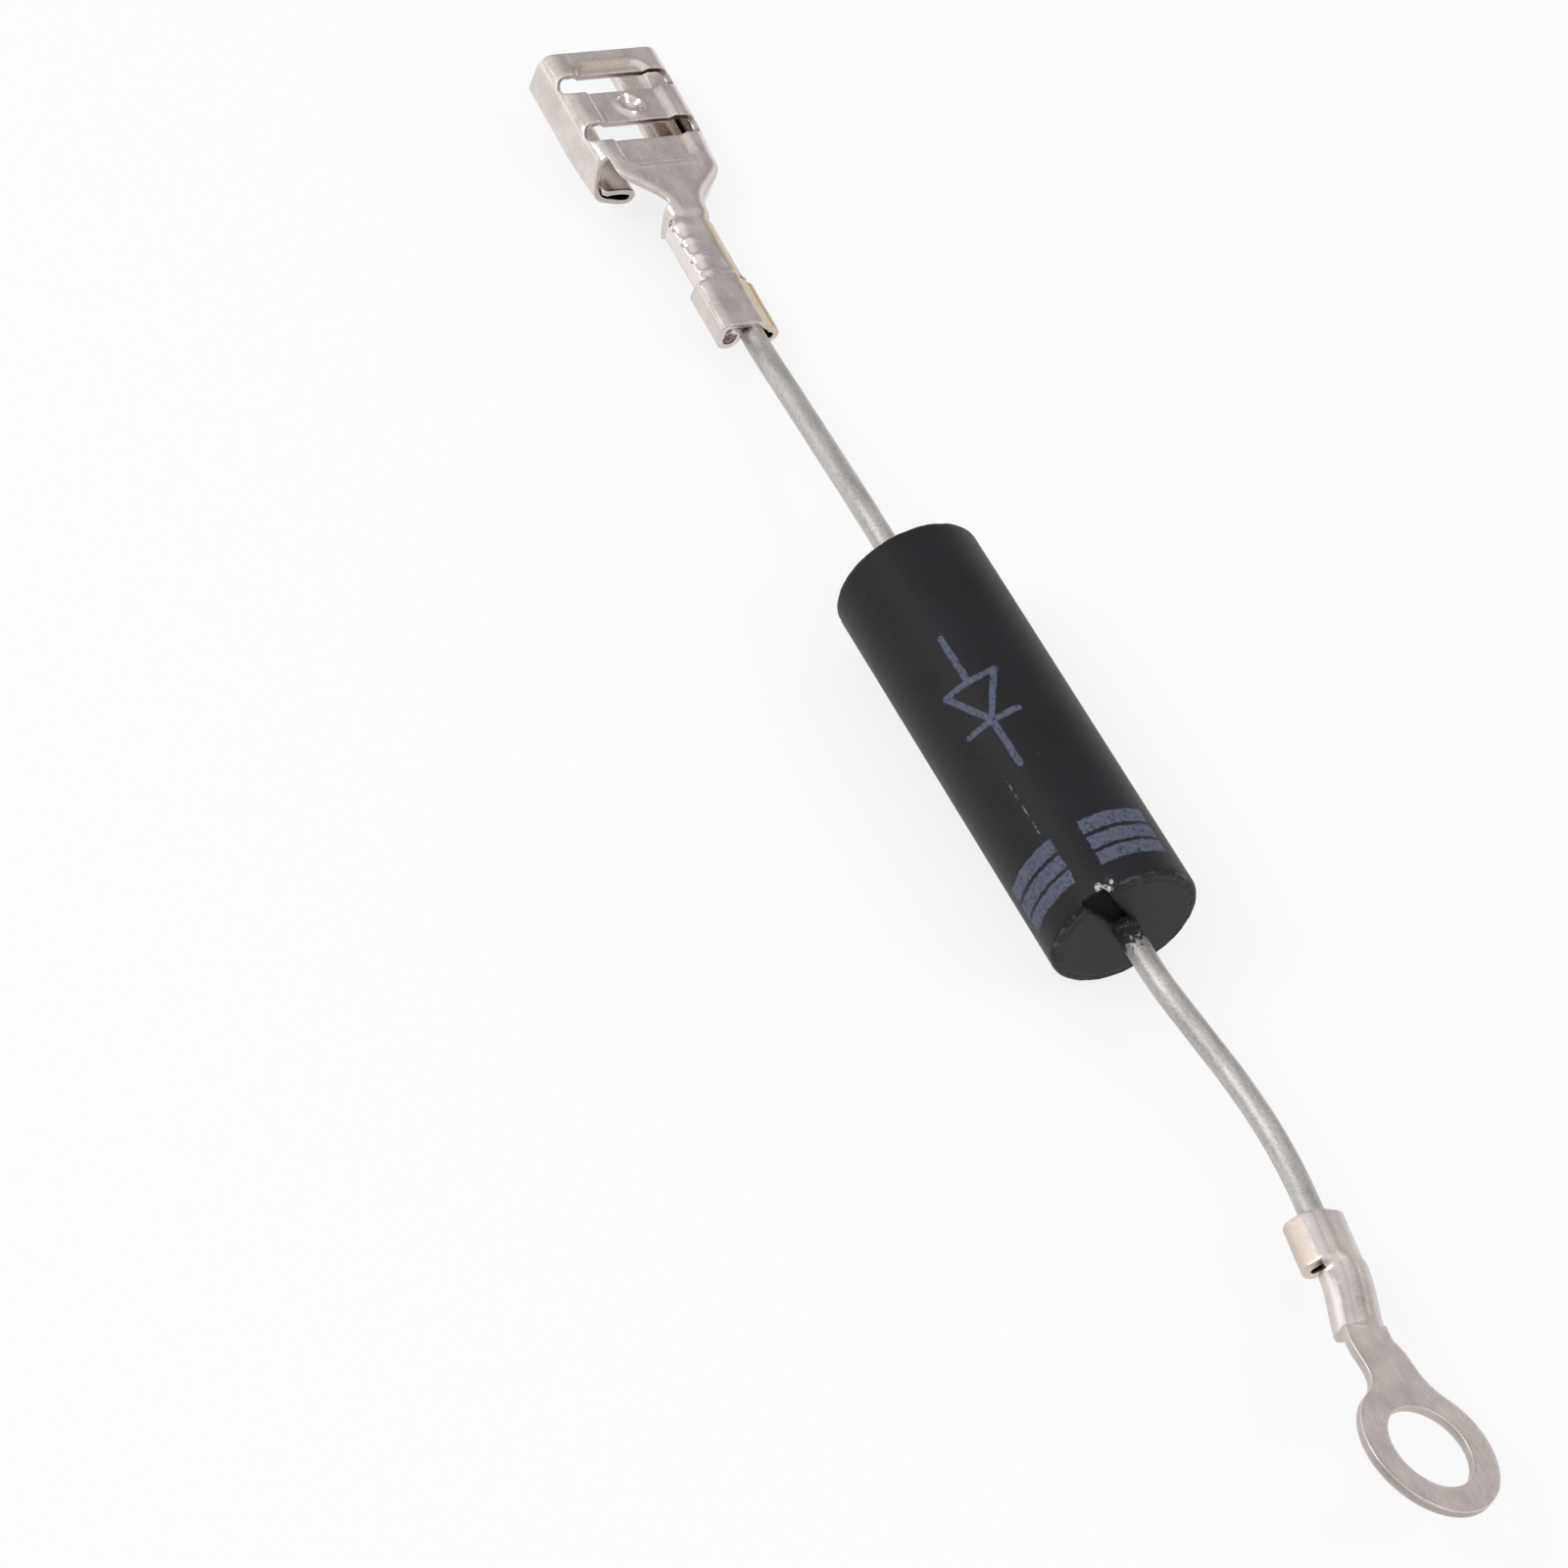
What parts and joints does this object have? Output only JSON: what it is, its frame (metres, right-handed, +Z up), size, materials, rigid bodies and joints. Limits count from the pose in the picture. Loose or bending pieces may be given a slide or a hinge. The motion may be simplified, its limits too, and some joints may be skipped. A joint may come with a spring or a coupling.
{
  "type": "axial rectifier diode",
  "caption": "Black moulded cylindrical high-voltage rectifier diode with two axial leads, one crimped to a push-on tab receptacle and one to a ring terminal.",
  "frame": {"origin": "on the surface the diode lies on, under the middle of its whole length and width", "axes": "+X runs along the moulded body toward the cathode lead and its ring terminal, +Z is up as the diode lies on its side"},
  "size_m": [0.0936, 0.0084, 0.0075],
  "materials": {
    "epoxy": "moulded satin black epoxy",
    "tinned_copper": "dull tinned wire",
    "tinned_brass": "tin-plated stamped strip",
    "silicone": "cured junction coating",
    "copper": "plain copper",
    "silicon": "diced wafer",
    "solder": "soft solder"
  },
  "bodies": {
    "root": {"case": "epoxy", "anode_lead": "tinned_copper", "cathode_lead": "tinned_copper", "tab_receptacle": "tinned_brass", "ring_terminal": "tinned_brass", "junction_coating": "silicone", "anode_slug": "copper", "cathode_slug": "copper", "silicon_die_01": "silicon", "silicon_die_02": "silicon", "silicon_die_03": "silicon", "silicon_die_04": "silicon", "silicon_die_05": "silicon", "silicon_die_06": "silicon", "silicon_die_07": "silicon", "silicon_die_08": "silicon", "silicon_die_09": "silicon", "silicon_die_10": "silicon", "silicon_die_11": "silicon", "silicon_die_12": "silicon", "solder_joint_01": "solder", "solder_joint_02": "solder", "solder_joint_03": "solder", "solder_joint_04": "solder", "solder_joint_05": "solder", "solder_joint_06": "solder", "solder_joint_07": "solder", "solder_joint_08": "solder", "solder_joint_09": "solder", "solder_joint_10": "solder", "solder_joint_11": "solder", "solder_joint_12": "solder", "solder_joint_13": "solder"}
  },
  "joints": []
}
